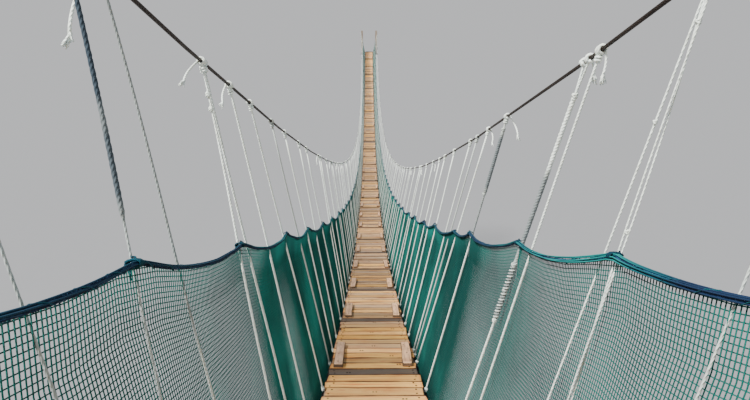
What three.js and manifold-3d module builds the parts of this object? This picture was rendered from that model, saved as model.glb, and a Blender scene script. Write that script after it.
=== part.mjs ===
// Rope suspension footbridge, a 1:2 scale model, in millimetres with +Z up.
// X runs across the walkway, +Y runs along it from the near end to the far end.
// The origin is the centre of the flat back face of the near sill.

import * as THREE from 'three';
import { mergeVertices } from 'three/addons/utils/BufferGeometryUtils.js';
import Module from 'manifold-3d';

const wasm = await Module();
wasm.setup();

// Walkway
const BAYS = 32;
const BAY_LENGTH = 860;
const FIRST_BAY = 636;
const SPAN = FIRST_BAY + (BAYS - 1) * BAY_LENGTH;
const MIDDLE = SPAN / 2;
const SAG = 2396;
const DECK_WIDTH = 300;
const PLANK_THICKNESS = 12;
const RUNNER_WIDTH = 40;
const RUNNER_DEPTH = 22;
const BEARER_LENGTH = 298;
const BEARER_WIDTH = 40;
const BEARER_DEPTH = 18;
const BEARER_SHARES = [0.12, 0.88];
const CLEAT_LENGTH = 325;
const CLEAT_WIDTH = 32;
const CLEAT_DEPTH = 13;
const CLEAT_SIDE = 119;
const CLEAT_FROM_JOINT = 6;
const CLEAT_SUNK = 0.5;
const SECTIONS = 4;
const BAYS_PER_SECTION = BAYS / SECTIONS;

// Ropes and cables
const CABLE_RADIUS = 3.3;
const CABLE_RISE_END = 768;
const CABLE_RISE_MIDDLE = { left: 860, right: 798 };
const CABLE_SIDE_END = { left: 324, right: 338 };
const CABLE_SIDE_MIDDLE = { left: 225, right: 290 };
const HAND_ROPE_RADIUS = 4;
const HAND_ROPE_RISE_END = 445;
const HAND_ROPE_RISE = 476;
const HAND_ROPE_CLIMB = 3000;
const FOOT_ROPE_RADIUS = 3.5;
const HANGER_RADIUS = 2.6;
const HANGER_PITCH = 270;
const NET_THICKNESS = 2;
const NET_ABOVE_FOOT_ROPE = 1.6;
const NET_STEPS_PER_BAY = 3;
const CABLE_SIDES = 6;
const HANGER_SIDES = 4;

// End frames
const SILL_SIZE = 70;
const SILL_OVERHANG = 24;
const POST_DEPTH = 70;
const POST_ABOVE_CABLE = 70;

// Clearances
const SEAT = 0.3;
const ROPE_SEAT = 0.4;
const NET_SEAT = 1.2;

const RUNNER_TOP = -PLANK_THICKNESS - SEAT;
const RUNNER_BOTTOM = RUNNER_TOP - RUNNER_DEPTH;
const BASE_SIDE = DECK_WIDTH / 2 + FOOT_ROPE_RADIUS + ROPE_SEAT;
const BASE_RISE = RUNNER_TOP - RUNNER_DEPTH / 2;
const HAND_ROPE_OUTWARD = -(HAND_ROPE_RADIUS + HANGER_RADIUS + ROPE_SEAT);
const NET_OUTWARD = HANGER_RADIUS + NET_SEAT + NET_THICKNESS / 2;
const END_SLOPE = SAG / MIDDLE * (2 - FIRST_BAY / MIDDLE);
const DECK_END_HEIGHT = SILL_SIZE / 2 + SEAT - RUNNER_BOTTOM + END_SLOPE * SILL_SIZE;

// Hangers read off the photograph are placed one by one, by the distance of their
// foot from the near end and by how far their head leans along the bridge.
const HANGERS_SEEN = {
  left: [
    [1771, -8], [1868, 131], [2070, 0], [2316, 111], [2474, -41], [2682, -74],
    [3033, -236], [3332, -264], [3517, -217], [3751, -110], [4132, -250],
  ],
  right: [
    [1826, -32], [2033, -17], [2137, -118], [2439, -146], [2549, -204], [3019, -170],
    [3345, -285], [3440, -220], [3510, -175], [3772, -93], [4006, -63], [4192, -69],
  ],
};
const FIRST_HANGER = 150;
const HANGER_WANDER = 50;
const HEAD_WANDER = 70;
const HEAD_TO_END = 55;
const HANGER_FROM_SECTION_END = 35;

const MATERIALS = {
  plank: new THREE.MeshStandardMaterial({ color: 0xb09a78, roughness: 0.9, metalness: 0 }),
  runner: new THREE.MeshStandardMaterial({ color: 0x8a7558, roughness: 0.9, metalness: 0 }),
  post: new THREE.MeshStandardMaterial({ color: 0x7d6a50, roughness: 0.9, metalness: 0 }),
  cable: new THREE.MeshStandardMaterial({ color: 0x2a2622, roughness: 0.6, metalness: 0.7 }),
  handRope: new THREE.MeshStandardMaterial({ color: 0x16343a, roughness: 0.85, metalness: 0 }),
  hanger: new THREE.MeshStandardMaterial({ color: 0xc9c3b0, roughness: 0.9, metalness: 0 }),
  net: new THREE.MeshStandardMaterial({ color: 0x0f6f66, roughness: 0.85, metalness: 0 }),
};

const bridge = new THREE.Group();

function addPiece(name, geometry, material) {
  const mesh = new THREE.Mesh(geometry, material);
  mesh.name = name;
  bridge.add(mesh);
}

// 0 at the middle of the span and 1 at either end
function endShare(y) {
  return ((y - MIDDLE) / MIDDLE) ** 2;
}

// How far along the bridge a count of bays reaches
function placeOf(bays) {
  return bays < 1 ? bays * FIRST_BAY : FIRST_BAY + (bays - 1) * BAY_LENGTH;
}

// How many bays lie before a place along the bridge
function baysTo(y) {
  return y < FIRST_BAY ? y / FIRST_BAY : 1 + (y - FIRST_BAY) / BAY_LENGTH;
}

// Sampled at the joints of the deck and straight between them
function alongJoints(value, y) {
  const bays = baysTo(y);
  const joint = Math.min(Math.max(Math.floor(bays), 0), BAYS - 1);
  const share = bays - joint;
  return value(placeOf(joint)) * (1 - share) + value(placeOf(joint + 1)) * share;
}

function deckHeight(y) {
  return alongJoints((at) => DECK_END_HEIGHT - SAG * (1 - endShare(at)), y);
}

function cableRise(side, y) {
  const rise = (at) => THREE.MathUtils.lerp(CABLE_RISE_MIDDLE[side], CABLE_RISE_END, endShare(at));
  return alongJoints(rise, y);
}

function cableSide(side, y) {
  const reach = (at) => THREE.MathUtils.lerp(CABLE_SIDE_MIDDLE[side], CABLE_SIDE_END[side], endShare(at));
  return alongJoints(reach, y);
}

function handRopeRise(side, y) {
  const fromEnd = (at) => Math.min(at, SPAN - at);
  const climb = (at) => THREE.MathUtils.smoothstep(fromEnd(at), 0, HAND_ROPE_CLIMB);
  return alongJoints((at) => THREE.MathUtils.lerp(HAND_ROPE_RISE_END, HAND_ROPE_RISE, climb(at)), y);
}

// A point on the leaning side of the bridge, at a height above the deck's top,
// and moved outward square to the lean
function sidePoint(side, y, rise, outward) {
  const reach = cableSide(side, y) - BASE_SIDE;
  const height = cableRise(side, y) - BASE_RISE;
  const lean = Math.atan2(reach, height);
  const away = BASE_SIDE + reach * (rise - BASE_RISE) / height + outward * Math.cos(lean);
  const sign = side === 'left' ? -1 : 1;
  return new THREE.Vector3(sign * away, y, deckHeight(y) + rise - outward * Math.sin(lean));
}

function mapVertices(geometry, place) {
  const position = geometry.attributes.position;
  for (let i = 0; i < position.count; i += 1) {
    const point = place(position.getX(i), position.getY(i), position.getZ(i));
    position.setXYZ(i, point.x, point.y, point.z);
  }
  geometry.computeVertexNormals();
  return geometry;
}

function toSolid(geometry) {
  const bare = geometry.clone();
  bare.deleteAttribute('normal');
  bare.deleteAttribute('uv');
  const merged = mergeVertices(bare, 1e-4);
  return new wasm.Manifold(new wasm.Mesh({
    numProp: 3,
    vertProperties: new Float32Array(merged.attributes.position.array),
    triVerts: new Uint32Array(merged.index.array),
  }));
}

function toGeometry(solid) {
  const mesh = solid.getMesh();
  const geometry = new THREE.BufferGeometry();
  geometry.setAttribute('position', new THREE.BufferAttribute(new Float32Array(mesh.vertProperties), 3));
  geometry.setIndex(new THREE.BufferAttribute(new Uint32Array(mesh.triVerts), 1));
  geometry.computeVertexNormals();
  return geometry;
}

function joined(geometries) {
  const solids = geometries.map(toSolid);
  return toGeometry(solids.reduce((whole, next) => whole.add(next)));
}

// A box along the bridge that follows the sag of the deck, one straight length a bay
function sagBox(width, depth, firstJoint, lastJoint, centreX, top) {
  const bays = lastJoint - firstJoint;
  const [from, to] = [placeOf(firstJoint), placeOf(lastJoint)];
  const box = new THREE.BoxGeometry(width, 1, depth, 1, bays, 1);
  return mapVertices(box, (x, along, z) => {
    const joint = firstJoint + Math.round((along + 0.5) * bays);
    const y = THREE.MathUtils.clamp(placeOf(joint), from + SEAT / 2, to - SEAT / 2);
    return { x: x + centreX, y, z: deckHeight(y) + top - depth / 2 + z };
  });
}

function straightBar(from, to, radius, sides) {
  const length = from.distanceTo(to);
  const bar = new THREE.CylinderGeometry(radius, radius, length, sides, 1);
  const direction = to.clone().sub(from).normalize();
  bar.applyQuaternion(new THREE.Quaternion().setFromUnitVectors(new THREE.Vector3(0, 1, 0), direction));
  const centre = from.clone().add(to).multiplyScalar(0.5);
  bar.translate(centre.x, centre.y, centre.z);
  return bar;
}

// A rope along one side, with a corner at each joint of the deck
function sideRope(side, from, to, riseAt, outward, radius) {
  const firstJoint = Math.ceil(baysTo(from) + 0.01);
  const lastJoint = Math.floor(baysTo(to) - 0.01);
  const stations = [from];
  for (let joint = firstJoint; joint <= lastJoint; joint += 1) {
    stations.push(placeOf(joint));
  }
  stations.push(to);
  const rings = stations.length - 1;
  const rope = new THREE.CylinderGeometry(radius, radius, 1, CABLE_SIDES, rings, false, Math.PI / 2);
  // The cylinder's own Y runs along the rope, and its rings are set square to Y
  return mapVertices(rope, (x, along, z) => {
    const y = stations[Math.round((along + 0.5) * rings)];
    const centre = sidePoint(side, y, riseAt(side, y), outward);
    return { x: centre.x + x, y, z: centre.z + z };
  });
}

function hangerPlaces(side) {
  const seen = HANGERS_SEEN[side];
  const places = [...seen];
  const addRun = (from, to, phase) => {
    const count = Math.round((to - from) / HANGER_PITCH);
    for (let i = 0; i < count; i += 1) {
      const foot = from + (i + 0.5) * ((to - from) / count) + HANGER_WANDER * Math.sin(2.4 * i + phase);
      const toMiddle = THREE.MathUtils.clamp((MIDDLE - foot) / HANGER_PITCH, -1, 1);
      places.push([foot, HEAD_WANDER * Math.sin(1.7 * i + 2 * phase) - HEAD_TO_END * toMiddle]);
    }
  };
  const phase = side === 'left' ? 0.4 : 1.9;
  addRun(FIRST_HANGER, seen[0][0] - HANGER_PITCH / 2, phase);
  addRun(seen[seen.length - 1][0] + HANGER_PITCH / 2, SPAN - FIRST_HANGER, phase + 1);
  return places.sort((a, b) => a[0] - b[0]);
}

// The top of a hanger stops just below the cable, with the corner of its end clear of it
function hanger(side, foot, lean) {
  const headY = foot + lean;
  const low = sidePoint(side, foot, BASE_RISE, 0);
  const head = sidePoint(side, headY, cableRise(side, headY), 0);
  const before = sidePoint(side, headY - 1, cableRise(side, headY - 1), 0);
  const drop = low.clone().sub(head).normalize();
  const alongCable = Math.abs(drop.dot(head.clone().sub(before).normalize()));
  const squareToCable = Math.sqrt(1 - alongCable ** 2);
  const reach = (CABLE_RADIUS + ROPE_SEAT + HANGER_RADIUS * alongCable) / squareToCable;
  const high = head.add(drop.multiplyScalar(reach));
  return straightBar(low, high, HANGER_RADIUS, HANGER_SIDES);
}

// Deck
for (let section = 0; section < SECTIONS; section += 1) {
  const firstJoint = section * BAYS_PER_SECTION;
  const lastJoint = firstJoint + BAYS_PER_SECTION;
  const planks = [sagBox(DECK_WIDTH, PLANK_THICKNESS, firstJoint, lastJoint, 0, 0)];
  for (let joint = firstJoint; joint < lastJoint; joint += 1) {
    const y = placeOf(joint) + CLEAT_FROM_JOINT + CLEAT_LENGTH / 2;
    for (const sign of [-1, 1]) {
      const cleat = new THREE.BoxGeometry(CLEAT_WIDTH, CLEAT_LENGTH, CLEAT_DEPTH + CLEAT_SUNK);
      cleat.translate(0, 0, (CLEAT_DEPTH - CLEAT_SUNK) / 2);
      cleat.rotateX(Math.atan2(deckHeight(y + 1) - deckHeight(y - 1), 2));
      cleat.translate(sign * CLEAT_SIDE, y, deckHeight(y));
      planks.push(cleat);
    }
  }
  addPiece(`deck_planks_${section + 1}`, joined(planks), MATERIALS.plank);

  const frame = [];
  for (const sign of [-1, 1]) {
    const centreX = sign * (DECK_WIDTH - RUNNER_WIDTH) / 2;
    frame.push(sagBox(RUNNER_WIDTH, RUNNER_DEPTH, firstJoint, lastJoint, centreX, RUNNER_TOP));
  }
  for (let joint = firstJoint; joint < lastJoint; joint += 1) {
    for (const share of BEARER_SHARES) {
      const y = placeOf(joint + share);
      const bearer = new THREE.BoxGeometry(BEARER_LENGTH, BEARER_WIDTH, BEARER_DEPTH);
      bearer.rotateX(Math.atan2(deckHeight(y + 1) - deckHeight(y - 1), 2));
      bearer.translate(0, y, deckHeight(y) + RUNNER_TOP - RUNNER_DEPTH / 2);
      frame.push(bearer);
    }
  }
  addPiece(`deck_frame_${section + 1}`, joined(frame), MATERIALS.runner);
}

// Sides
for (const side of ['left', 'right']) {
  const sign = side === 'left' ? -1 : 1;
  const places = hangerPlaces(side);

  const cable = sideRope(side, 0, SPAN, cableRise, 0, CABLE_RADIUS);
  const handRope = sideRope(side, 0, SPAN, handRopeRise, HAND_ROPE_OUTWARD, HAND_ROPE_RADIUS);
  addPiece(`main_cable_${side}`, cable, MATERIALS.cable);
  addPiece(`hand_rope_${side}`, handRope, MATERIALS.handRope);

  for (let section = 0; section < SECTIONS; section += 1) {
    const from = Math.max(placeOf(section * BAYS_PER_SECTION), POST_DEPTH) + SEAT;
    const to = Math.min(placeOf((section + 1) * BAYS_PER_SECTION), SPAN - POST_DEPTH) - SEAT;
    const bars = [sideRope(side, from, to, () => BASE_RISE, 0, FOOT_ROPE_RADIUS)];
    for (const [foot, lean] of places) {
      if (foot > from + HANGER_FROM_SECTION_END && foot < to - HANGER_FROM_SECTION_END) {
        bars.push(hanger(side, foot, lean));
      }
    }
    addPiece(`hangers_${side}_${section + 1}`, joined(bars), MATERIALS.hanger);

    const steps = BAYS_PER_SECTION * NET_STEPS_PER_BAY;
    const net = new THREE.BoxGeometry(1, 1, 1, 1, steps, 1);
    addPiece(`net_${side}_${section + 1}`, mapVertices(net, (x, along, z) => {
      const bays = section * BAYS_PER_SECTION + Math.round((along + 0.5) * steps) / NET_STEPS_PER_BAY;
      const y = THREE.MathUtils.clamp(placeOf(bays), from, to);
      const low = BASE_RISE + FOOT_ROPE_RADIUS + NET_ABOVE_FOOT_ROPE;
      const rise = THREE.MathUtils.lerp(low, handRopeRise(side, y) + HAND_ROPE_RADIUS / 2, z + 0.5);
      return sidePoint(side, y, rise, NET_OUTWARD + sign * x * NET_THICKNESS);
    }), MATERIALS.net);
  }
}

// End frames
function reachAt(side, y, rise, outward) {
  return Math.abs(sidePoint(side, y, rise(side, y), outward).x);
}

for (const [end, backY, inward] of [['near', 0, 1], ['far', SPAN, -1]]) {
  const frontY = backY + inward * POST_DEPTH;
  const bottom = SILL_SIZE / 2 + SEAT;
  const top = DECK_END_HEIGHT + CABLE_RISE_END + POST_ABOVE_CABLE;
  const outer = {};
  for (const side of ['left', 'right']) {
    const sign = side === 'left' ? -1 : 1;
    const ropeReach = [backY, frontY].map((y) => reachAt(side, y, handRopeRise, HAND_ROPE_OUTWARD));
    const inner = Math.max(...ropeReach) + HAND_ROPE_RADIUS + SEAT;
    outer[side] = reachAt(side, frontY, cableRise, 0) - CABLE_RADIUS - SEAT;
    const post = new THREE.BoxGeometry(outer[side] - inner, POST_DEPTH, top - bottom);
    post.translate(sign * (inner + outer[side]) / 2, (backY + frontY) / 2, (top + bottom) / 2);
    addPiece(`${end}_post_${side}`, post, MATERIALS.post);
  }
  const sill = new THREE.BoxGeometry(outer.left + outer.right + 2 * SILL_OVERHANG, SILL_SIZE, SILL_SIZE);
  sill.translate((outer.right - outer.left) / 2, (backY + frontY) / 2, 0);
  addPiece(`${end}_sill`, sill, MATERIALS.post);
}

export default bridge;
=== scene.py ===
# Rope suspension footbridge, a 1:2 scale model, in metres with +Z up.
# X runs across the walkway, +Y runs along it from the near end to the far end.

import math

import bpy
import numpy as np
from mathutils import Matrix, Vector


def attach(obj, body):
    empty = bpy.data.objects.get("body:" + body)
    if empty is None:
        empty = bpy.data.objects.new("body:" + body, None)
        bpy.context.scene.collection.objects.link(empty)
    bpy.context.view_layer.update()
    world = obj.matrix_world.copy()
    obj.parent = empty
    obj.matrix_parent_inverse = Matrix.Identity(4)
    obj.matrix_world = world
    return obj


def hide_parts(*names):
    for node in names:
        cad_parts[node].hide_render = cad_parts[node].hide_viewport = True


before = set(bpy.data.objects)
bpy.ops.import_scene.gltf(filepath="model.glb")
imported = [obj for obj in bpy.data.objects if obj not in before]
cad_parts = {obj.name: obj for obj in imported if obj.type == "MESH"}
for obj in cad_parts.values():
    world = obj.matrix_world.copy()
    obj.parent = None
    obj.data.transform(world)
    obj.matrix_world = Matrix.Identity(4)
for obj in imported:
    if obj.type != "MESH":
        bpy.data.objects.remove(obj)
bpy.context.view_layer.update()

# Walkway
BAYS = 32
BAY_LENGTH = 0.860
FIRST_BAY = 0.636
SPAN = FIRST_BAY + (BAYS - 1) * BAY_LENGTH
MIDDLE = SPAN / 2
SAG = 2.396
DECK_WIDTH = 0.300
PLANK_THICKNESS = 0.012
RUNNER_WIDTH = 0.040
RUNNER_DEPTH = 0.022
RUNNER_GAP = 0.003
RUNNER_END_TRIM = 0.022
BEARER_SIZE = (0.298, 0.040, 0.018)
BEARER_SHARES = (0.12, 0.88)
FRAME_CHAMFER = 0.002
FRAME_ROUGH = 0.0004
SECTIONS = 4
BAYS_PER_SECTION = BAYS // SECTIONS

# Cross planks and their nails. A nail's place across a plank is a share of the plank's width. The planks
# grow greyer from a place along the bridge, over a length, up to a greyness: partly grey wood and partly
# painted shade over the far deck.
PLANK_PITCH = 0.0710
PLANK_GAP = 0.0032
PLANK_GAP_SPREAD = (0.4, 1.6)
PLANK_ROUGH = 0.0012
PLANK_WIDTH_SPREAD = 0.16
PLANK_END_SPREAD = 0.0055
PLANK_END_CUT_MOST = 0.012
PLANK_YAW = 0.009
PLANK_WEDGE = 0.022
JOINT_GAP = 0.006
GREYER_FROM = 2.3
GREYER_OVER = 2.1
GREYNESS_FAR = 0.62
NAIL_SIZE = (0.0029, 0.0008)
NAIL_SIDE = 0.128
NAIL_WANDER = 0.004
NAIL_OFFSETS = (-0.26, 0.24)
EXTRA_NAILS_CHANCE = 0.45
EXTRA_NAILS_APART = 0.009

# Short boards along the edges, how grey those of each side are, and the shares of their length for nails
CLEAT_LENGTH = 0.325
CLEAT_WIDTH = 0.032
CLEAT_DEPTH = 0.013
CLEAT_SIDE = 0.119
CLEAT_FROM_JOINT = 0.006
CLEAT_LENGTH_SPREAD = (0.95, 1.01)
CLEAT_WIDTH_SPREAD = (0.92, 1.06)
CLEAT_WANDER_ACROSS = 0.0015
CLEAT_WANDER_ALONG = 0.003
CLEAT_YAW = 0.010
CLEAT_CHAMFER = 0.0016
CLEAT_ROUGH = 0.0009
CLEAT_GREYNESS = {-1: 1.0, 1: 0.1}
CLEAT_NAIL_SHARES = (-0.38, -0.05, 0.33)

# Ropes and cables
CABLE_RADIUS = 0.0033
CABLE_STRAND_RADIUS = 0.0030
CABLE_RISE_END = 0.768
CABLE_RISE_MIDDLE = {"left": 0.860, "right": 0.798}
CABLE_SIDE_END = {"left": 0.324, "right": 0.338}
CABLE_SIDE_MIDDLE = {"left": 0.225, "right": 0.290}
HAND_ROPE_RADIUS = 0.004
HAND_ROPE_RISE_END = 0.445
HAND_ROPE_RISE = 0.476
HAND_ROPE_CLIMB = 3.0
HAND_ROPE_DROP = 0.020
HAND_ROPE_CORE = {"left": 0.0027, "right": 0.0030}
HAND_ROPE_LAY = 0.055
HAND_ROPE_LOBES = (0.90, 1.0, 1.0)
HAND_ROPE_THINNER = 0.97
FOOT_ROPE_RADIUS = 0.0035
WHIPPING_TURNS = 6
WHIPPING_PITCH = 0.0019
WHIPPING_FROM_POST = 0.012
CORD_RADIUS = 0.0009
STAPLE_RADIUS = 0.0011
STAPLE_GAP = 0.0012
STAPLE_DEPTH = 0.001
STAPLE_SHARES = (0.25, 0.75)

# Hangers and the cord that ties the hand rope to them. The pitch and the place of a hanger's turns round
# another rope, and the thickness of its knots, are counted in the hanger's own radius.
HANGER_RADIUS = 0.0026
HANGER_PITCH = 0.270
HANGER_LAY = 0.018
HANGER_THINNER = 0.95
HANGER_BOW = 0.0012
HITCH_TURNS = 3
HITCH_PITCH = 1.9
FOOT_TURNS = 2
FOOT_TURN_PITCH = 2.0
TURN_SINK = 0.9
KNOT_TURNS = 2
KNOT_THICKER = 1.1
KNOT_FROM_CABLE = 0.010
KNOT_FROM_FOOT_ROPE = 0.009
PAIR_TURNS = 1.3
LEG_SPREAD = (-0.011, 0.012)
LEG_THINNER = 0.8
WRAP_PITCH = 0.013
TIE_HALF_WIDTH = 0.0078
TIE_RADIUS = 0.0013
TIE_TURNS = 4
TIE_GAP = 0.0014
TIE_BETWEEN = 0.58
TAIL_THINNER = 0.72
TAIL_STRANDS = 14
TAIL_SPREAD = 0.12

# Nets, their edge cords and their lacing
NET_THICKNESS = 0.002
NET_PITCH = 0.0060
NET_BILLOW = 0.013
NET_WANDER = 0.004
NET_ON_FOOT_ROPE = 0.125
NET_ON_HAND_ROPE = 0.93
TWINE_RADIUS = 0.00066
EDGE_CORDS = 4
EDGE_LACING_PITCH = 0.060
EDGE_LACING_RADIUS = 0.0006
EDGE_LACING_GAP = 0.0012
FOOT_LACING_PITCH = 0.0745
FOOT_LACING_FROM_POST = 0.010
FOOT_LACING_GAP = 0.0022
FOOT_LACING_LIFT = 0.001
BORDER_RADIUS = 0.0015
BORDER_FROM_POST = 0.003

# Ropes nearer than this are shaped strand by strand, and the others are shaded so.
FINE_REACH = 3.3

# Where the net's edge cords are loose on the right hand rope, and how dark they are at places along it
LOOSE_EDGE = 2.12
LOOSE_EDGE_REACH = 0.15
LOOSE_EDGE_GAP = 0.0022
# The cords' navy stretches are partly their own colour and partly painted shade.
EDGE_DARK_PLACES = (1.88, 1.98, 2.32, 2.45, 2.70, 3.10)
EDGE_DARKNESS = (1.0, 0.0, 0.0, 0.5, 0.95, 0.75)

# End frames. Bolts stand at levels above a post's foot and from a plate's middle, and at shares of the
# sill's length from its middle. A washer's and a bolt head's size is radius and height.
SILL_SIZE = 0.070
SILL_OVERHANG = 0.024
SILL_BOLT_SHARES = (-0.30, -0.10, 0.10, 0.30)
POST_DEPTH = 0.070
POST_ABOVE_CABLE = 0.070
POST_BOLT_LEVELS = (0.28, 0.55, 0.80)
TIMBER_CHAMFER = 0.003
STRAP_WIDTH = 0.020
STRAP_THICKNESS = 0.0016
STRAP_TABS = (0.012, 0.034)
STRAP_BOLT_LEVEL = 0.024
PLATE_SIZE = (0.150, 0.036, 0.0024)
PLATE_RISE = 0.030
PLATE_BOLT_LEVELS = (-0.060, -0.042, 0.010, 0.055)
PLATE_CHAMFER = 0.0005
METAL_SEAT = 0.0001
WASHER_SIZE = (0.0095, 0.0013)
WASHER_RISE = 0.0004
BOLT_SIZE = (0.0058, 0.0046)
BOLT_RISE = 0.0012
BOLT_WANDER = 0.006

# Clearances
SEAT = 0.0003
ROPE_SEAT = 0.0004
NET_SEAT = 0.0012
ROPE_END = 0.0013

RUNNER_TOP = -PLANK_THICKNESS - SEAT
BASE_SIDE = DECK_WIDTH / 2 + FOOT_ROPE_RADIUS + ROPE_SEAT
BASE_RISE = RUNNER_TOP - RUNNER_DEPTH / 2
HAND_ROPE_OUTWARD = -(HAND_ROPE_RADIUS + HANGER_RADIUS + ROPE_SEAT)
NET_OUTWARD = HANGER_RADIUS + NET_SEAT + NET_THICKNESS / 2
END_SLOPE = SAG / MIDDLE * (2 - FIRST_BAY / MIDDLE)
DECK_END_HEIGHT = SILL_SIZE / 2 + SEAT + RUNNER_DEPTH - RUNNER_TOP + END_SLOPE * SILL_SIZE

# Hangers read off the photograph: the distance of the foot from the near end, how far the head
# leans along the bridge, whether the hand rope is tied up to it, and how it is made up.
HANGERS_SEEN = {
    "left": [
        (1.771, -0.008, 0, "slender grey"), (1.868, 0.131, 1, "dark above"), (2.070, 0, 0, "thin"),
        (2.316, 0.111, 1, "knotted top"), (2.474, -0.041, 0, "plain"), (2.682, -0.074, 0, "tailed"),
        (3.033, -0.236, 1, "plain"), (3.332, -0.264, 0, "plain"), (3.517, -0.217, 1, "plain"),
        (3.751, -0.110, 0, "plain"), (4.132, -0.250, 1, "plain"),
    ],
    "right": [
        (1.826, -0.032, 0, "slender"), (2.033, -0.017, 1, "doubled"), (2.137, -0.118, 0, "slim"),
        (2.439, -0.146, 0, "looped"), (2.549, -0.204, 1, "mended"), (3.019, -0.170, 1, "grey above"),
        (3.345, -0.285, 1, "tailed"), (3.440, -0.220, 0, "plain"), (3.510, -0.175, 0, "plain"),
        (3.772, -0.093, 1, "plain"), (4.006, -0.063, 0, "plain"), (4.192, -0.069, 1, "plain"),
    ],
}
FIRST_HANGER = 0.150
FOOT_WANDER = 0.050
HEAD_WANDER = 0.070
HEAD_TO_END = 0.055
HANGER_FROM_SECTION_END = 0.035

# Make-up of a hanger, in shares of its length from 0 at the deck to 1 at the cable.
# stretches: from, to, thickness against a plain hanger, greyness. wraps: from, to. knots: place, size.
# legs: where it parts in two below the cable. pair: how far apart its two ropes lie.
# tail: its length in metres, how far it leans towards the near end and outward, and how bushy its tip is.
# A stretch's greyness is a blue-grey: partly the rope's own colour and partly painted shade.
HANGER_STYLES = {
    "plain": {},
    "pale": {"stretches": ((0, 1, 1.0, 0.25),)},
    "slender": {"stretches": ((0, 1, 0.50, 0.30),)},
    "slender grey": {"stretches": ((0, 1, 0.50, 0.48),)},
    "slim": {"stretches": ((0, 1, 0.56, 0.0),), "knots": ((0.815, 1.0),)},
    "thin": {"stretches": ((0, 0.48, 0.72, 0.20), (0.48, 1, 0.72, 0.62)), "tail": (0.086, 0.60, 0.28, 1.8)},
    "tailed": {"tail": (0.050, 1.0, 0.15, 1.0)},
    "looped": {"stretches": ((0, 1, 0.92, 0.0),), "tail": (0.036, 0.10, 0.15, 1.8)},
    "doubled": {
        "stretches": ((0, 0.42, 0.50, 0.25), (0.42, 0.60, 0.60, 0.30), (0.60, 0.90, 0.44, 0.0),
                      (0.90, 1, 0.60, 0.0)),
        "knots": ((0.66, 1.2), (0.935, 1.4)), "pair": 0.0046,
    },
    "dark above": {"stretches": ((0, 0.67, 0.58, 0.5), (0.67, 0.79, 1.15, 0.96), (0.79, 1, 1.05, 1.0))},
    "knotted top": {
        "stretches": ((0, 1, 0.90, 0.0),),
        "knots": ((0.905, 1.0), (0.935, 1.4)), "tail": (0.062, 1.3, 0.40, 1.4),
    },
    "grey above": {
        "stretches": ((0, 0.60, 1.1, 0.0), (0.60, 0.765, 1.15, 0.7), (0.765, 0.96, 2.0, 0.85)),
        "knots": ((0.62, 1.2), (0.765, 1.6), (0.965, 1.8)), "tail": (0.060, 0.90, 0.45, 1.2),
    },
    "mended": {
        "stretches": ((0, 0.43, 1.15, 0.0), (0.43, 0.59, 1.65, 0.7), (0.59, 0.80, 1.75, 0.8),
                      (0.80, 0.94, 1.7, 0.05)),
        "knots": ((0.43, 1.6), (0.51, 2.0), (0.575, 2.6), (0.94, 1.8)), "wraps": ((0.44, 0.575),),
        "legs": 0.94, "tail": (0.022, 0.4, 0.3, 2.4),
    },
}
SIDES = {"left": -1, "right": 1}
ACROSS, ALONG, UPWARD = np.eye(3)

# Camera, measured from the lines of the walkway and the cables
CAMERA_PLACE = (-0.014, 1.400, 0.1334)
CAMERA_PITCH = 14.0
CAMERA_YAW = 0.59
PHOTO_WIDTH = 750
FOCAL_PIXELS = 600
SENSOR_WIDTH = 36.0
NEAREST_SEEN = 0.02
FARTHEST_SEEN = 1500.0

# Floor and light
FLOOR_LEVEL = -9.0
FLOOR_REACH = 900.0
FLOOR_COLOURS = ((0.221, 0.230, 0.2457), (0.229, 0.238, 0.2537))
SKY_COLOUR = (0.97, 0.98, 1.0, 1.0)
SKY_STRENGTH = 0.64
SUN_COLOUR = (1.0, 0.96, 0.90)
SUN_STRENGTH = 8.65
SUN_DIRECTION = (-0.65, -0.42, 0.95)
SUN_ANGLE = 12


def place_of(bays):
    """How far along the bridge a count of bays reaches."""
    bays = np.asarray(bays, float)
    return np.where(bays < 1, bays * FIRST_BAY, FIRST_BAY + (bays - 1) * BAY_LENGTH)[()]


def bays_to(y):
    """How many bays lie before a place along the bridge."""
    y = np.asarray(y, float)
    return np.where(y < FIRST_BAY, y / FIRST_BAY, 1 + (y - FIRST_BAY) / BAY_LENGTH)


def along_joints(value, y):
    """A value worked out at the joints of the deck and straight between them."""
    bays = bays_to(y)
    joint = np.clip(np.floor(bays), 0, BAYS - 1)
    share = bays - joint
    return value(place_of(joint)) * (1 - share) + value(place_of(joint + 1)) * share


def along_sag(middle, end, y):
    """A value that grows as the sag does, from the middle of the span to either end."""
    return along_joints(lambda at: middle + (end - middle) * ((at - MIDDLE) / MIDDLE) ** 2, y)


def deck_height(y):
    return along_sag(DECK_END_HEIGHT - SAG, DECK_END_HEIGHT, y)


def cable_rise(side, y):
    return along_sag(CABLE_RISE_MIDDLE[side], CABLE_RISE_END, y)


def cable_side(side, y):
    return along_sag(CABLE_SIDE_MIDDLE[side], CABLE_SIDE_END[side], y)


def hand_rope_rise(y):
    def at_joint(at):
        share = np.clip(np.minimum(at, SPAN - at) / HAND_ROPE_CLIMB, 0, 1)
        return HAND_ROPE_RISE_END + (HAND_ROPE_RISE - HAND_ROPE_RISE_END) * share * share * (3 - 2 * share)
    return along_joints(at_joint, y)


def unit(vectors):
    vectors = np.asarray(vectors, float)
    return vectors / np.linalg.norm(vectors, axis=-1, keepdims=True)


def bay_direction(y):
    """The direction of the deck along one bay."""
    joint = min(max(math.floor(bays_to(y)), 0), BAYS - 1)
    start, stop = place_of(joint), place_of(joint + 1)
    return unit([0, stop - start, deck_height(stop) - deck_height(start)])


def side_lean(side, y):
    return np.arctan2(cable_side(side, y) - BASE_SIDE, cable_rise(side, y) - BASE_RISE)


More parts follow.
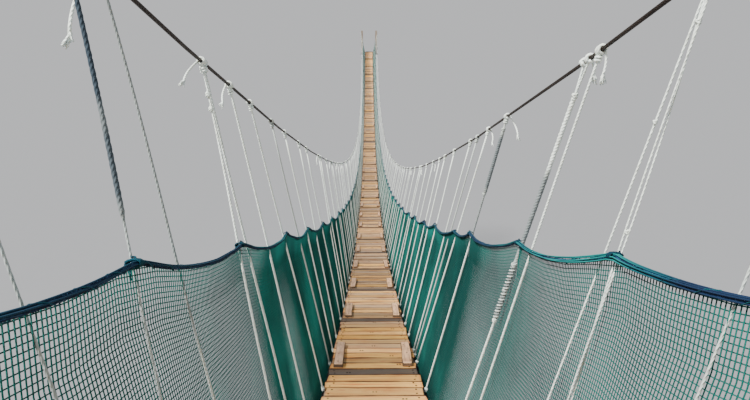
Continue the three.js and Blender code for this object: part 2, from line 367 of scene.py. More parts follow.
def side_point(side, y, rise, outward=0.0):
    """A point on the leaning side of the bridge, moved outward square to the lean."""
    lean = side_lean(side, y)
    away = BASE_SIDE + (rise - BASE_RISE) * np.tan(lean) + outward * np.cos(lean)
    up = deck_height(y) + rise - outward * np.sin(lean)
    return np.stack(np.broadcast_arrays(SIDES[side] * away, y, up), axis=-1)


def side_axes(side, y):
    """The directions along the bay, outward square to the leaning side, and up along it."""
    lean = side_lean(side, y)
    outward = SIDES[side] * math.cos(lean) * ACROSS - math.sin(lean) * UPWARD
    upward = SIDES[side] * math.sin(lean) * ACROSS + math.cos(lean) * UPWARD
    return bay_direction(y), outward, upward


def on_deck(x, y, rise):
    """A point above the deck's top, measured square to the bay."""
    slope = bay_direction(y)
    return np.array([x, y - rise * slope[2], deck_height(y) + rise * slope[1]])


def hanger_places(side):
    """Foot, lean of the head, tie and make-up of each hanger, from the near end to the far end."""
    seen = HANGERS_SEEN[side]
    places = list(seen)

    def add_run(start, stop, phase):
        count = round((stop - start) / HANGER_PITCH)
        for i in range(count):
            foot = start + (i + 0.5) * (stop - start) / count + FOOT_WANDER * math.sin(2.4 * i + phase)
            to_middle = min(max((MIDDLE - foot) / HANGER_PITCH, -1), 1)
            lean = HEAD_WANDER * math.sin(1.7 * i + 2 * phase) - HEAD_TO_END * to_middle
            style = "tailed" if i % 3 == 0 else "pale" if i % 5 == 0 else "plain"
            places.append((foot, lean, i % 2, style))

    phase = 0.4 if side == "left" else 1.9
    add_run(FIRST_HANGER, seen[0][0] - HANGER_PITCH / 2, phase)
    add_run(seen[-1][0] + HANGER_PITCH / 2, SPAN - FIRST_HANGER, phase + 1)
    return sorted(places)


def hanger_at(side, foot, lean, rise):
    """Where along the bridge a hanger passes a height above the deck."""
    return foot + lean * (rise - BASE_RISE) / (CABLE_RISE_MIDDLE[side] - BASE_RISE)


def tie_places(side):
    """Where the hand rope is tied up along the bridge, its ends at the posts among them."""
    tied = [hanger_at(side, foot, lean, HAND_ROPE_RISE)
            for foot, lean, tied, _ in hanger_places(side) if tied]
    return np.array([POST_DEPTH / 2, *tied, SPAN - POST_DEPTH / 2])


TIES = {side: tie_places(side) for side in SIDES}


def slack_rise(side, y):
    """The hand rope's rise, with a shallow sag from each tie to the next."""
    ties = TIES[side]
    after = np.clip(np.searchsorted(ties, y), 1, len(ties) - 1)
    start, stop = ties[after - 1], ties[after]
    share = np.clip((y - start) / (stop - start), 0, 1)
    drop = HAND_ROPE_DROP * np.minimum((stop - start) / (1.8 * HANGER_PITCH), 1.2)
    return hand_rope_rise(y) + drop * (0.35 - 4 * share * (1 - share))


def section_bays(section):
    return range(section * BAYS_PER_SECTION, (section + 1) * BAYS_PER_SECTION)


def section_ends(section, trim):
    """The places where a section starts and stops, clear of the posts by a trim."""
    start, stop = place_of(section * BAYS_PER_SECTION), place_of((section + 1) * BAYS_PER_SECTION)
    return max(start, POST_DEPTH + trim), min(stop, SPAN - POST_DEPTH - trim)


def section_nodes(stem):
    return [f"{stem}_{section + 1}" for section in range(SECTIONS)]


PLAIN_TINT = (0.5, 0.0)


class Piece:
    """One joined mesh, gathered from many solids. It has a UV map in metres along the grain, a second one
    of shares from -1 to 1 along and across a board, and for each vertex a tint of tone and greyness."""

    def __init__(self):
        self.count = 0
        self.points, self.tints = [], []
        self.corners, self.sizes, self.grain, self.shares = [], [], [], []

    def add_points(self, points, tint):
        """Takes in points (n,3) with one tint or one for each, and tells the number of the first."""
        self.points.append(points)
        self.tints.append(np.broadcast_to(tint, (len(points), 2)))
        self.count += len(points)
        return self.count - len(points)

    def add_faces(self, faces, grain=None, shares=None):
        """Faces (...,k) between the points, with grain and shares (...,k,2) at their corners."""
        self.corners.append(faces.ravel())
        self.sizes.append(np.full(faces[..., 0].size, faces.shape[-1]))
        for kept, values in ((self.grain, grain), (self.shares, shares)):
            kept.append(np.zeros((faces.size, 2)) if values is None else values.reshape(-1, 2))

    def finish(self, name, material, slot, nodes=(), smooth=True):
        points = np.concatenate(self.points)
        corners = np.concatenate(self.corners)
        sizes = np.concatenate(self.sizes)
        mesh = bpy.data.meshes.new(name)
        mesh.vertices.add(len(points))
        mesh.vertices.foreach_set("co", points.ravel())
        mesh.loops.add(len(corners))
        mesh.loops.foreach_set("vertex_index", corners)
        mesh.polygons.add(len(sizes))
        mesh.polygons.foreach_set("loop_start", np.cumsum(sizes) - sizes)
        mesh.update(calc_edges=True)
        mesh.polygons.foreach_set("use_smooth", np.full(len(sizes), smooth))
        for layer, values in (("grain", self.grain), ("shares", self.shares)):
            mesh.uv_layers.new(name=layer).data.foreach_set("uv", np.concatenate(values).ravel())
        rgba = np.tile([0.0, 0.0, 0.0, 1.0], (len(points), 1))
        rgba[:, :2] = np.concatenate(self.tints)
        mesh.attributes.new("tint", "FLOAT_COLOR", "POINT").data.foreach_set("color", rgba.ravel())
        mesh.update()
        mesh.materials.append(material)
        piece = bpy.data.objects.new(name, mesh)
        bpy.context.collection.objects.link(piece)
        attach(piece, "root")
        if nodes:
            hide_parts(*nodes)


def face_corners(rings):
    """From values (m,n,k+1,...) on rings, with the first corner's again after the last, the values at the
    corners of each face between two rings."""
    return np.stack([rings[:, :-1, :-1], rings[:, :-1, 1:], rings[:, 1:, 1:], rings[:, 1:, :-1]], axis=3)


def pairs(first, second):
    return np.stack(np.broadcast_arrays(first, second), axis=-1)


def add_sweep(piece, points, tint, grain, shares=None, end_grain=None):
    """Closed bars from rings of points (m,n,k,3), which run counterclockwise about the way ahead. Grain and
    shares (m,n,k+1,2) have the first corner's value again after the last."""
    numbers = piece.add_points(points.reshape(-1, 3), tint) + np.arange(points[..., 0].size)
    numbers = numbers.reshape(points.shape[:3])
    closed = np.concatenate([numbers, numbers[:, :, :1]], axis=2)
    if shares is not None:
        shares = face_corners(shares)
    piece.add_faces(face_corners(closed), face_corners(grain), shares)
    ends = np.stack([numbers[:, 0, ::-1], numbers[:, -1]], axis=1)
    piece.add_faces(ends, end_grain, np.ones(ends.shape + (2,)))


def add_bars(piece, paths, radius, section, across, lay=0.0, tint=PLAIN_TINT):
    """Bars along paths (m,n,3). The corners of the section are complex numbers, which grow with the radius
    and turn once in each lay. across is a direction that no path runs along."""
    paths = np.reshape(paths, (-1,) + np.shape(paths)[-2:])
    tangent = unit(np.gradient(paths, axis=1))
    first = unit(np.cross(np.broadcast_to(across, tangent.shape), tangent))
    second = np.cross(tangent, first)
    steps = np.linalg.norm(np.diff(paths, axis=1), axis=-1)
    along = np.pad(np.cumsum(steps, axis=1), ((0, 0), (1, 0)))
    turns = along / lay if lay else np.zeros_like(along)
    reach = (radius * np.exp(2j * math.pi * turns))[..., None] * section
    points = (paths[:, :, None] + reach.real[..., None] * first[:, :, None]
              + reach.imag[..., None] * second[:, :, None])
    around = turns[..., None] + np.arange(len(section) + 1) / len(section)
    add_sweep(piece, points, tint, pairs(along[..., None], around))


def add_tubes(piece, paths, radius, sides, across, lobes=(1.0,), **bars):
    """Round tubes, or lobed ones, where lobes are the shares of the radius at the corners in turn."""
    section = np.resize(lobes, sides) * np.exp(2j * math.pi * np.arange(sides) / sides)
    add_bars(piece, paths, radius, section, across, **bars)


def add_coil(piece, centre, axes, radii, turns, pitch, cord, sides, start=0.0, steps=9, **tubes):
    """A helix of cord about the first of its three axes, oval where it has two radii."""
    axis, first, second = axes
    wide, high = np.broadcast_to(radii, 2)
    share = np.linspace(0, 1, round(turns * steps) + 1)[:, None]
    angle = start + 2 * math.pi * turns * share
    path = (centre + wide * np.cos(angle) * first + high * np.sin(angle) * second
            + pitch * turns * (share - 0.5) * axis)
    add_tubes(piece, path, cord, sides, axis, **tubes)


# The rings of a small head, from its foot up: their shares of its radius, and their levels
FLAT_HEAD = ((1.0, -1.0), (1.0, 0.45))
CROWNED_HEAD = FLAT_HEAD + ((0.6, 1.0),)


def add_heads(piece, places, normals, size, sides, rings=CROWNED_HEAD):
    """Small heads of nails, washers or bolts, each standing on a surface. size is radius and height."""
    normals = unit(normals)[:, None]
    across = np.where(np.abs(normals[..., :1]) > 0.9, -ALONG, -ACROSS)
    widths, levels = np.transpose(rings)
    paths = np.asarray(places)[:, None] + size[1] * levels[:, None] * normals
    add_tubes(piece, paths, size[0] * widths, sides, across)


# A chamfered section: shares of half the width and half the depth, and how the chamfer moves each corner
BOARD_CORNERS = np.array([(-1, -1), (1, -1), (1, -1), (1, 1), (1, 1), (-1, 1), (-1, 1), (-1, -1)], float)
CHAMFER_WAYS = np.array([(1, 0), (-1, 0), (0, 1), (0, -1), (-1, 0), (1, 0), (0, -1), (0, 1)], float)


def add_board(piece, centre, along, across, size, chamfer, rng, rough=0.0, stations=2, taper=0.0,
              tint=PLAIN_TINT):
    """A chamfered board: size is its length, width and depth. rough moves its edges and ends a little,
    and taper makes it wedge-shaped."""
    length, width, depth = size
    along, across = unit(along), unit(across)
    up = np.cross(along, across)
    places = np.pad(np.linspace(-length / 2, length / 2, stations), 1, mode="edge")[:, None]
    places[1] += chamfer
    places[-2] -= chamfer
    shrink = np.zeros_like(places)
    shrink[[0, -1]] = chamfer
    half_width = width / 2 * (1 + taper * places / (length / 2)) - shrink
    side = BOARD_CORNERS[:, 0] * half_width + CHAMFER_WAYS[:, 0] * chamfer
    rise = BOARD_CORNERS[:, 1] * (depth / 2 - shrink) + CHAMFER_WAYS[:, 1] * chamfer
    edges = rng.normal(0, rough, (len(places), 2))
    side = side + np.roll(np.repeat(edges, 4, axis=1), 1, axis=1)
    rise = rise + np.where(BOARD_CORNERS[:, 1] > 0, rng.normal(0, rough * 0.3, (len(places), 1)), 0)
    skew = np.zeros_like(places)
    skew[:2], skew[-2:] = rng.normal(0, rough, (2, 1))
    reach = places + skew * BOARD_CORNERS[:, 0]
    points = centre + reach[..., None] * along + side[..., None] * across + rise[..., None] * up

    shift = rng.uniform(0, 40, 2)
    girth = np.pad(np.cumsum([width, chamfer, depth, chamfer] * 2), (1, 0))
    grain = pairs(places, girth) + shift
    shares = pairs(2 * places / length, np.append(BOARD_CORNERS[:, 0], BOARD_CORNERS[0, 0]))
    ends = pairs(rise, side) + shift
    add_sweep(piece, points[None], tint, grain[None], shares[None], np.stack([ends[0, ::-1], ends[-1]]))


class Shader:
    """A material, with short calls that add nodes to it."""

    def __init__(self, name, roughness, metallic=0.0, specular=0.5):
        self.material = bpy.data.materials.new(name)
        self.material.use_nodes = True
        self.tree = self.material.node_tree
        self.surface = self.tree.nodes["Principled BSDF"]
        self.put(self.surface.inputs["Roughness"], roughness)
        self.put(self.surface.inputs["Metallic"], metallic)
        self.put(self.surface.inputs["Specular IOR Level"], specular)

    def put(self, socket, value):
        if isinstance(value, bpy.types.NodeSocket):
            self.tree.links.new(value, socket)
        elif socket.type == "RGBA":
            socket.default_value = (*value, 1.0)
        else:
            socket.default_value = value

    def node(self, kind, inputs=None, **settings):
        node = self.tree.nodes.new("ShaderNode" + kind)
        for key, value in settings.items():
            setattr(node, key, value)
        for key, value in (inputs or {}).items():
            self.put(node.inputs[key], value)
        return node

    def uv(self, layer):
        return self.node("UVMap", uv_map=layer).outputs["UV"]

    def split(self, vector):
        return self.node("SeparateXYZ", {"Vector": vector}).outputs[:2]

    def tint(self):
        """The tone and the greyness of the piece at this place."""
        return self.split(self.node("Attribute", attribute_name="tint").outputs["Vector"])

    def stretch(self, vector, scale):
        return self.node("Mapping", {"Vector": vector, "Scale": scale}).outputs["Vector"]

    def noise(self, vector=None, scale=1.0, detail=4.0, distortion=0.0):
        """Noise over a vector, or else over the places of the object."""
        if vector is None:
            vector = self.node("TexCoord").outputs["Object"]
        values = {"Vector": vector, "Scale": scale, "Detail": detail, "Roughness": 0.6,
                  "Distortion": distortion}
        return self.node("TexNoise", values).outputs["Fac"]

    def math(self, operation, first, second=0.0):
        return self.node("Math", {0: first, 1: second}, operation=operation).outputs[0]

    def times(self, first, second):
        return self.math("MULTIPLY", first, second)

    def wave(self, turns):
        return self.math("SINE", self.times(turns, 2 * math.pi))

    def twist(self, count, lay):
        """The turns of a rope's strands or a cable's wires, count of them, each once round in a lay."""
        along, around = self.split(self.uv("grain"))
        return self.math("SUBTRACT", self.times(around, count), self.times(along, count / lay))

    def ramp(self, value, low, high, bottom=0.0, top=1.0):
        values = {"Value": value, "From Min": low, "From Max": high, "To Min": bottom, "To Max": top}
        return self.node("MapRange", values, interpolation_type="SMOOTHSTEP").outputs["Result"]

    def mix(self, share, first, second, blend="MIX"):
        values = {0: share, 6: first, 7: second}
        return self.node("Mix", values, data_type="RGBA", blend_type=blend).outputs[2]

    def darken(self, share, colour, other):
        return self.mix(share, colour, other, "MULTIPLY")

    def shade(self, colour, value):
        grey = self.node("CombineXYZ", {0: value, 1: value, 2: value}).outputs[0]
        return self.darken(1.0, colour, grey)

    def finish(self, colour, height=None, distance=0.001, strength=1.0):
        self.put(self.surface.inputs["Base Color"], colour)
        if height is not None:
            bump = self.node("Bump", {"Height": height, "Distance": distance, "Strength": strength})
            self.put(self.surface.inputs["Normal"], bump.outputs["Normal"])
        return self.material


# Painted shade for the sides of the boards, in the gaps between them
SIDE_SHADE = (0.035, 0.020, 0.012)


def wood(name, light, dark, edge, grey, grime=0.5):
    """Rough sawn boards, worn by the weather: streaks along the grain, small knots, cracks, worn orange
    edges, and painted shade down their sides, where they face the gaps between boards."""
    paint = Shader(name, roughness=0.85)
    grain = paint.uv("grain")
    tone, greyness = paint.tint()
    along, across = (paint.math("ABSOLUTE", share) for share in paint.split(paint.uv("shares")))
    broad = paint.noise(paint.stretch(grain, (5.0, 70.0, 1.0)), detail=5.0, distortion=0.6)
    fine = paint.noise(paint.stretch(grain, (22.0, 520.0, 1.0)), detail=3.0)
    blotch = paint.noise(scale=9.0, detail=5.0)
    knot_places = {"Vector": paint.stretch(grain, (9.0, 26.0, 1.0)), "Scale": 1.0}
    knots = paint.node("TexVoronoi", knot_places).outputs["Distance"]
    colour = paint.mix(paint.ramp(broad, 0.36, 0.66), light, dark)
    colour = paint.darken(paint.ramp(knots, 0.16, 0.05, 0.0, 0.75), colour, dark)
    rim = paint.math("MAXIMUM", paint.ramp(across, 0.72, 1.0), paint.ramp(along, 0.93, 1.0, 0.0, 0.7))
    rim = paint.times(rim, paint.ramp(blotch, 0.38, 0.6, 0.25, 1.0))
    colour = paint.mix(rim, colour, edge)
    # Greyness: grey wood, which on the far planks and the joint planks is partly painted shade
    weathering_and_shade = paint.times(greyness, paint.ramp(broad, 0.3, 0.75, 1.0, 0.55))
    colour = paint.mix(weathering_and_shade, colour, grey)
    colour = paint.darken(paint.ramp(blotch, 0.5, 0.72, 0.0, grime), colour, dark)
    cracks = paint.ramp(fine, 0.33, 0.24)
    colour = paint.darken(paint.times(cracks, 0.7), colour, dark)
    # Painted shade: the sides of each board, which face the gaps, darkened in patches
    side_shade_amount = paint.ramp(blotch, 0.30, 0.52, 0.45, 1.0)
    colour = paint.mix(paint.times(paint.ramp(across, 0.955, 0.995, 0.0, 0.92), side_shade_amount), colour, SIDE_SHADE)
    tones = paint.ramp(tone, 0.0, 1.0, 0.18, 1.50)
    colour = paint.shade(colour, paint.times(paint.ramp(fine, 0.2, 0.8, 0.82, 1.12), tones))
    paint.put(paint.surface.inputs["Roughness"], paint.ramp(broad, 0.3, 0.7, 0.72, 0.95))
    relief = paint.math("SUBTRACT", paint.times(fine, 0.5), cracks)
    return paint.finish(colour, paint.math("ADD", paint.times(broad, 0.8), relief), 0.0012, 0.8)


STRANDS = 3
FIBRES_PER_METRE = 420
FIBRES_PER_STRAND = 3.0


def rope(name, light, dark, other, lay, streaks=0.0):
    """Twisted rope: painted shade in the valleys between its strands, fine fibres across them, and perhaps
    painted highlight streaks along it. lay is the length of one turn, and other is the colour of its greyer
    stretches, which on hangers are partly painted shade, and of its highlight streaks."""
    paint = Shader(name, roughness=0.8, specular=0.15)
    along, around = paint.split(paint.uv("grain"))
    tone, greyness = paint.tint()
    twist = paint.twist(STRANDS, lay)
    crown = paint.wave(twist)
    fibres = paint.times(along, FIBRES_PER_METRE)
    fibre = paint.wave(paint.math("ADD", fibres, paint.times(twist, FIBRES_PER_STRAND)))
    stain = paint.noise(scale=38.0)
    colour = paint.mix(paint.ramp(stain, 0.35, 0.7), light, dark)
    # Painted highlights: lighter bands along the rope, in the other colour
    if streaks:
        bands = {0: paint.times(along, 16.0), 1: paint.times(around, 9.0)}
        bands = paint.noise(paint.node("CombineXYZ", bands).outputs[0], detail=3.0)
        streak = paint.ramp(bands, 0.46, 0.62, 0.0, streaks)
        greyness = paint.math("MAXIMUM", greyness, streak)
    colour = paint.mix(greyness, colour, other)
    # Painted shade in the valleys between the strands
    colour = paint.darken(paint.ramp(crown, -0.2, -1.0, 0.0, 0.28), colour, dark)
    tones = paint.ramp(tone, 0.0, 1.0, 0.7, 1.15)
    colour = paint.shade(colour, paint.times(tones, paint.ramp(fibre, -1.0, 1.0, 0.9, 1.05)))
    return paint.finish(colour, paint.math("ADD", crown, paint.times(fibre, 0.25)), 0.0006, 0.45)


TWINE_TURNS_PER_METRE = 500


def twine(name, light, dark, other):
    """Knotted net twine, a little bleached in places, and of another colour where it is tinted so."""
    paint = Shader(name, roughness=0.85, specular=0.2)
    bleach = paint.noise(scale=3.2, detail=5.0)
    strand = paint.wave(paint.times(paint.split(paint.uv("grain"))[0], TWINE_TURNS_PER_METRE))
    colour = paint.mix(paint.ramp(bleach, 0.35, 0.68), dark, light)
    return paint.finish(paint.mix(paint.tint()[1], colour, other), strand, 0.0002, 0.5)


CABLE_WIRES = 6


def steel(name, light, dark, roughness, lay=0.0):
    """Steel worn by the weather, with the wires of a cable and painted shade in the grooves between them,
    where it has a lay.
    """
    paint = Shader(name, roughness, metallic=0.75)
    rust = paint.noise(scale=24.0, detail=6.0)
    colour = paint.mix(paint.ramp(rust, 0.42, 0.66), light, dark)
    if not lay:
        return paint.finish(colour, rust, 0.0004, 0.5)
    wires = paint.wave(paint.twist(CABLE_WIRES, lay))
    # Painted shade in the grooves between the wires
    colour = paint.darken(paint.ramp(wires, -0.1, -1.0, 0.0, 0.8), colour, dark)
    return paint.finish(colour, wires, 0.0007, 0.9)


PLANK_WOOD = wood("plank_wood", (1.0, 0.59, 0.13), (0.76, 0.32, 0.052), (0.52, 0.17, 0.022),
                  (0.22, 0.20, 0.205), grime=0.35)
CLEAT_WOOD = wood("cleat_wood", (0.62, 0.38, 0.22), (0.34, 0.20, 0.12), (0.66, 0.41, 0.21),
                  (0.27, 0.21, 0.20))
FRAME_WOOD = wood("frame_wood", (0.36, 0.27, 0.18), (0.19, 0.13, 0.08), (0.30, 0.18, 0.09),
                  (0.28, 0.26, 0.25))
POST_WOOD = wood("post_wood", (0.33, 0.25, 0.17), (0.17, 0.12, 0.08), (0.27, 0.17, 0.10),
                 (0.26, 0.24, 0.22))
# Off-white hanger rope; its greyer stretches take the dark slate, partly its own colour and partly painted
# shade.
HANGER_FIBRE = rope("hanger_rope", (0.88, 0.96, 0.93), (0.76, 0.82, 0.76), (0.045, 0.066, 0.088),
                    HANGER_LAY)
# The hand rope's lighter blue streaks along its length are painted highlights.
HAND_FIBRE = rope("hand_rope", (0.006, 0.020, 0.064), (0.003, 0.008, 0.024), (0.026, 0.090, 0.200),
                  HAND_ROPE_LAY, streaks=0.8)
TIE_FIBRE = rope("tie_rope", (0.006, 0.030, 0.070), (0.004, 0.012, 0.028), (0.010, 0.120, 0.150), 0.008)
# The foot rope's near-black colour is painted shade in the gap between the planks and the net.
FOOT_FIBRE = rope("foot_rope", (0.004, 0.012, 0.012), (0.002, 0.006, 0.006), (0.006, 0.016, 0.016), 0.020)
EDGE_CORD = twine("net_edge", (0.010, 0.33, 0.30), (0.004, 0.10, 0.12), (0.006, 0.022, 0.062))
NET_TWINE = twine("net", (0.001, 0.136, 0.113), (0.0006, 0.058, 0.052), (0.002, 0.03, 0.04))
CABLE_STEEL = steel("cable_steel", (0.050, 0.034, 0.026), (0.026, 0.015, 0.010), 0.5, lay=0.030)
FITTING_STEEL = steel("fitting_steel", (0.34, 0.33, 0.32), (0.20, 0.11, 0.06), 0.55)
NAIL_STEEL = steel("nail_steel", (0.020, 0.014, 0.010), (0.012, 0.007, 0.005), 0.85)


def planks(section, nails):
    """The cross planks of one section, each a little askew and wedge-shaped, with nails at its ends. The
    last plank before each joint is dark grey: partly grey wood and partly painted shade."""
    rng = np.random.default_rng(300 + section)
    piece = Piece()
    for bay in section_bays(section):
        start, stop = place_of(bay) + JOINT_GAP / 2, place_of(bay + 1) - JOINT_GAP / 2
        slope = bay_direction(start)
        count = round((stop - start) / PLANK_PITCH)
        widths = rng.uniform(1 - PLANK_WIDTH_SPREAD, 1 + PLANK_WIDTH_SPREAD, count)
        edges = start + np.concatenate([[0], np.cumsum(widths)]) / widths.sum() * (stop - start)
        for place in range(count):
            y = (edges[place] + edges[place + 1]) / 2
            cuts = np.clip(np.abs(rng.normal(0, PLANK_END_SPREAD, 2)), 0, PLANK_END_CUT_MOST)
            ends = DECK_WIDTH / 2 - cuts
            yaw = rng.normal(0, PLANK_YAW)
            width = edges[place + 1] - edges[place] - PLANK_GAP * rng.uniform(*PLANK_GAP_SPREAD)
            # Farther planks grow greyer: partly grey wood and partly painted shade.
            far = np.clip((y - GREYER_FROM) / GREYER_OVER, 0, 1)
            grey = np.clip(rng.normal(GREYNESS_FAR * far, 0.12 + 0.08 * far), 0, 1)
            tone = rng.uniform(0.35, 1)
            # The last plank before a joint is dark grey: partly grey wood and partly painted shade.
            if place == count - 1:
                grey, tone = rng.uniform(0.85, 1.0), rng.uniform(0, 0.2)
            size = (ends.sum(), width, PLANK_THICKNESS - 2 * SEAT)
            centre = on_deck((ends[1] - ends[0]) / 2, y, -PLANK_THICKNESS / 2 + rng.uniform(-1, 1) * SEAT)
            add_board(piece, centre, ACROSS + yaw * slope, slope - yaw * ACROSS, size, PLANK_ROUGH, rng,
                      rough=PLANK_ROUGH, stations=7, taper=rng.normal(0, PLANK_WEDGE), tint=(tone, grey))
            spots = [(side * rng.normal(NAIL_SIDE, NAIL_WANDER), offset)
                     for side in (-1, 1) for offset in NAIL_OFFSETS]
            if rng.uniform() < EXTRA_NAILS_CHANCE:
                x, offset = rng.uniform(-0.09, 0.09), rng.uniform(-0.2, 0.2)
                spots += [(x, offset), (x + EXTRA_NAILS_APART, offset)]
            upright = np.cross(ACROSS, slope)
            nails.extend((on_deck(x, y + offset * width, 2 * SEAT), upright) for x, offset in spots)
    node = f"deck_planks_{section + 1}"
    piece.finish(f"{node}_boards", PLANK_WOOD, "plank_wood", [node], smooth=False)


def cleats(nails):
    """A pair of short boards along the deck's edges, just beyond each joint."""
    rng = np.random.default_rng(41)
    piece = Piece()
    for bay in range(BAYS):
        for side in (-1, 1):
            y = place_of(bay) + CLEAT_FROM_JOINT + CLEAT_LENGTH / 2 + rng.normal(0, CLEAT_WANDER_ALONG)
            slope = bay_direction(y)
            yaw = rng.normal(0, CLEAT_YAW)
            x = side * CLEAT_SIDE + rng.normal(0, CLEAT_WANDER_ACROSS)
            length = CLEAT_LENGTH * rng.uniform(*CLEAT_LENGTH_SPREAD)
            width = CLEAT_WIDTH * rng.uniform(*CLEAT_WIDTH_SPREAD)
            centre = on_deck(x, y, CLEAT_DEPTH / 2 + 2 * SEAT)
            tint = (rng.uniform(0.55, 1.0), rng.uniform(0.0, 0.5) * CLEAT_GREYNESS[side])
            add_board(piece, centre, slope + yaw * ACROSS, -ACROSS - yaw * slope,
                      (length, width, CLEAT_DEPTH), CLEAT_CHAMFER, rng, CLEAT_ROUGH, stations=6, tint=tint)
            for share in CLEAT_NAIL_SHARES:
                spot = on_deck(x + rng.normal(0, NAIL_WANDER), y + share * length, CLEAT_DEPTH + 3 * SEAT)
                nails.append((spot, np.cross(ACROSS, slope)))
    piece.finish("cleats", CLEAT_WOOD, "plank_wood", section_nodes("deck_planks"), smooth=False)


def nail_heads(nails):
    """The heads of all nails, rounder where they are near."""
    piece = Piece()
    for near, sides in ((True, 8), (False, 5)):
        places, normals = zip(*[nail for nail in nails if (nail[0][1] < FINE_REACH) == near])
        add_heads(piece, places, normals, NAIL_SIZE, sides, FLAT_HEAD)
    piece.finish("nails", NAIL_STEEL, "cable_steel")


def deck_frame(section):
    """Two runners under the planks in each bay, with two bearers let through them."""
    rng = np.random.default_rng(70 + section)
    piece = Piece()

    def add_timber(x, y, along, across, size, stations, shift=0.0):
        centre = on_deck(x, y, RUNNER_TOP - RUNNER_DEPTH / 2) + shift
        tint = (rng.uniform(0.4, 0.8), rng.uniform(0.1, 0.5))
        add_board(piece, centre, along, across, size, FRAME_CHAMFER, rng, FRAME_ROUGH, stations, tint=tint)

    for bay in section_bays(section):
        middle = place_of(bay + 0.5)
        slope = bay_direction(middle)
        length = (place_of(bay + 1) - place_of(bay)) / slope[1]
        trim = RUNNER_END_TRIM * ((bay == 0) - (bay == BAYS - 1))
        size = (length - RUNNER_GAP - abs(trim), RUNNER_WIDTH - 0.001, RUNNER_DEPTH - SEAT)
        for side in (-1, 1):
            x = side * (DECK_WIDTH - RUNNER_WIDTH) / 2
            add_timber(x, middle, slope, -ACROSS, size, 7, trim / 2 * slope)
        for share in BEARER_SHARES:
            add_timber(0, place_of(bay + share), ACROSS, slope, BEARER_SIZE, 5)
    node = f"deck_frame_{section + 1}"
    piece.finish(f"{node}_boards", FRAME_WOOD, "frame_wood", [node], smooth=False)


def main_cable(side):
    y = np.linspace(ROPE_END, SPAN - ROPE_END, 16 * BAYS + 1)
    piece = Piece()
    add_tubes(piece, cable_point(side, y), CABLE_STRAND_RADIUS, 10, UPWARD)
    piece.finish(f"main_cable_{side}_strand", CABLE_STEEL, "cable_steel", [f"main_cable_{side}"])


def cable_point(side, y):
    return side_point(side, y, cable_rise(side, y))


def hand_rope_path(side, y):
    wander = 0.0010 * np.sin(31 * y) + 0.0008 * np.sin(53 * y + 1)
    return side_point(side, y, slack_rise(side, y), HAND_ROPE_OUTWARD + wander)


def hand_rope(side):
    """Three strands laid up, hanging slack between its ties. The near length has its strands shaped."""
    piece = Piece()
    core = HAND_ROPE_CORE[side]
    near = np.linspace(ROPE_END, FINE_REACH, round(FINE_REACH / HAND_ROPE_LAY * 8) + 1)
    far = np.linspace(FINE_REACH, SPAN - ROPE_END, round((SPAN - FINE_REACH) / 0.05) + 1)
    tint = (0.55, 0.0)
    strands = {"lobes": HAND_ROPE_LOBES, "lay": HAND_ROPE_LAY}
    add_tubes(piece, hand_rope_path(side, near), core, 9, UPWARD, tint=tint, **strands)
    add_tubes(piece, hand_rope_path(side, far), core * HAND_ROPE_THINNER, 8, UPWARD, tint=tint)
    piece.finish(f"hand_rope_{side}_strands", HAND_FIBRE, "hand_rope", [f"hand_rope_{side}"])


def lacing(margin, pitch):
    """The places and angles of a cord that is wound along the bridge, from a margin to a margin."""
    turns = round((SPAN - 2 * margin) / pitch)
    share = np.linspace(0, 1, 5 * turns + 1)
    return margin + (SPAN - 2 * margin) * share, 2 * math.pi * turns * share


def net_edge(side):
    """The net's edge cords, which lie along the hand rope and part round the loosest stretch of the right
    one, the cord that laces them to it, and the cord down each end of the net."""
    piece = Piece()
    near, far = np.arange(POST_DEPTH, FINE_REACH, 0.02), np.arange(FINE_REACH, SPAN - POST_DEPTH, 0.10)
    y = np.concatenate([near, far])
    _, outward, upward = side_axes(side, MIDDLE)

    def beside_rope(y, reach, angle):
        return hand_rope_path(side, y) + reach * (pairs(np.cos(angle), np.sin(angle)) @ (outward, upward))

    # Where the cords turn navy is partly their own colour and partly painted shade.
    if side == "right":
        first_angle = 1.1
        loose = np.exp(-((y - LOOSE_EDGE) / LOOSE_EDGE_REACH) ** 2)
        dark = np.interp(y, EDGE_DARK_PLACES, EDGE_DARKNESS)
    else:
        first_angle, loose = 0.1, 0.0
        dark = 0.9 - 0.4 * (y > 2.4)
    tint = np.repeat(pairs(0.6, dark), 5, axis=0)
    for index in range(EDGE_CORDS):
        angle = first_angle + 0.8 * index
        angle = angle + 0.35 * np.sin(3.1 * y + index) + 0.25 * np.sin(7.3 * y + 2 * index)
        lift = HAND_ROPE_CORE[side] + SEAT + 0.0005 * np.sin(11 * y + 3 * index) + LOOSE_EDGE_GAP * loose
        add_tubes(piece, beside_rope(y, lift[:, None], angle), CORD_RADIUS, 5, UPWARD, tint=tint)
    y, angle = lacing(POST_DEPTH, EDGE_LACING_PITCH)
    path = beside_rope(y, HAND_ROPE_CORE[side] + EDGE_LACING_GAP, angle)
    add_tubes(piece, path, EDGE_LACING_RADIUS, 3, UPWARD, tint=(0.5, 0.75))
    for end in (POST_DEPTH + BORDER_FROM_POST, SPAN - POST_DEPTH - BORDER_FROM_POST):
        rise = np.linspace(BASE_RISE, hand_rope_rise(end), 12)
        add_tubes(piece, side_point(side, end, rise, NET_OUTWARD), BORDER_RADIUS, 6, ALONG)
    piece.finish(f"net_edge_{side}", EDGE_CORD, "net")


